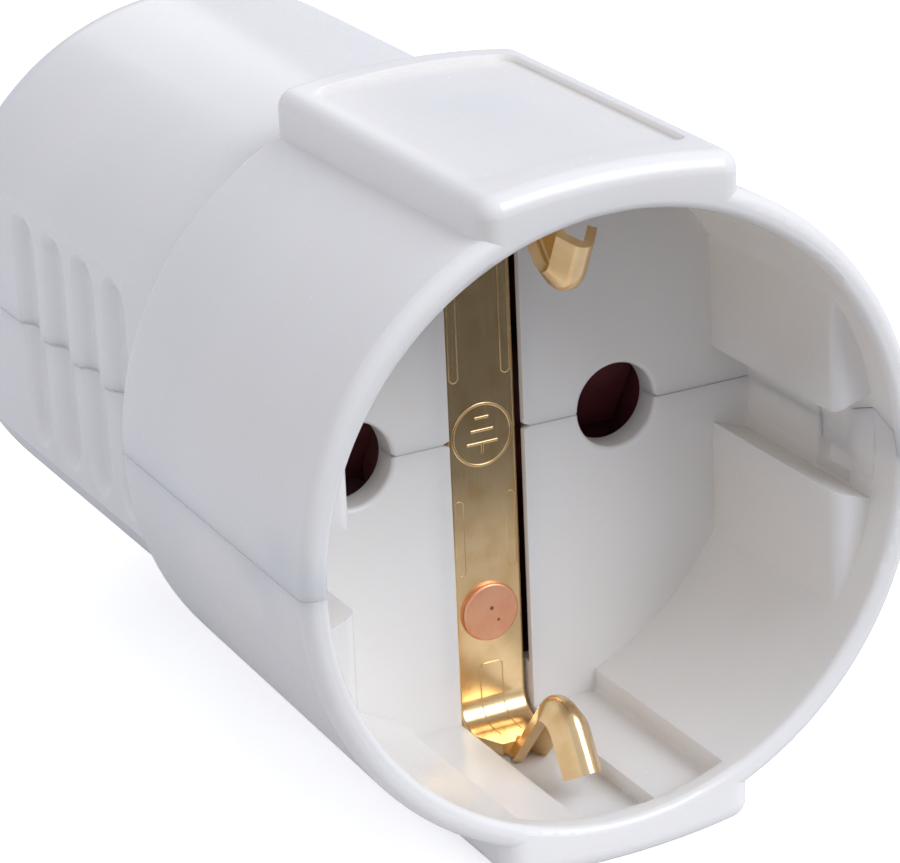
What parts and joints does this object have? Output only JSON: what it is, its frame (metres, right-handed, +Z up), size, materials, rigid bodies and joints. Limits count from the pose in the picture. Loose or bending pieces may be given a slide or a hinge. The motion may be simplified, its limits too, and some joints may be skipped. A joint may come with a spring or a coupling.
{
  "type": "in-line power socket",
  "caption": "White in-line mains socket: deep round plug recess with brass earth springs and shuttered pin holes, on a ribbed handle with a rear cord inlet, in screwed half shells.",
  "frame": {"origin": "centre of the recess mouth, on the socket's axis in the plane of the rim", "axes": "+Y along the socket's axis from the mouth to the cord inlet, +Z up through the upper pad, shells part at z = 0"},
  "size_m": [0.0424, 0.0742, 0.0448],
  "materials": {
    "white_plastic": "moulded, semi-gloss",
    "brown_plastic": "moulded, satin",
    "brass": "rolled sheet, bright",
    "copper": "upset rivet, satin",
    "zinc_steel": "zinc plated",
    "spring_steel": "cold drawn"
  },
  "bodies": {
    "socket": {"upper_shell": "white_plastic", "lower_shell": "white_plastic", "earth_strip": "brass", "earth_rivet": "copper", "earth_bracket": "brass", "earth_terminal": "brass", "earth_terminal_screw": "zinc_steel", "contact_carrier": "brown_plastic", "shutter_spring": "spring_steel", "line_contact": "brass", "line_contact_clip": "spring_steel", "line_terminal": "brass", "line_terminal_screw": "zinc_steel", "neutral_contact": "brass", "neutral_contact_clip": "spring_steel", "neutral_terminal": "brass", "neutral_terminal_screw": "zinc_steel", "cord_clamp": "white_plastic", "cord_clamp_screws": "zinc_steel", "housing_screws": "zinc_steel"},
    "shutter": {"shutter": "brown_plastic"}
  },
  "joints": [
    {"name": "shutter_slide", "type": "slide", "parent": "socket", "child": "shutter", "axis": [0, 0, 1], "range_m": [0, 0.00673], "stiffness_N_per_m": 246, "springref_m": -0.0025, "deforming": ["shutter_spring"]}
  ]
}
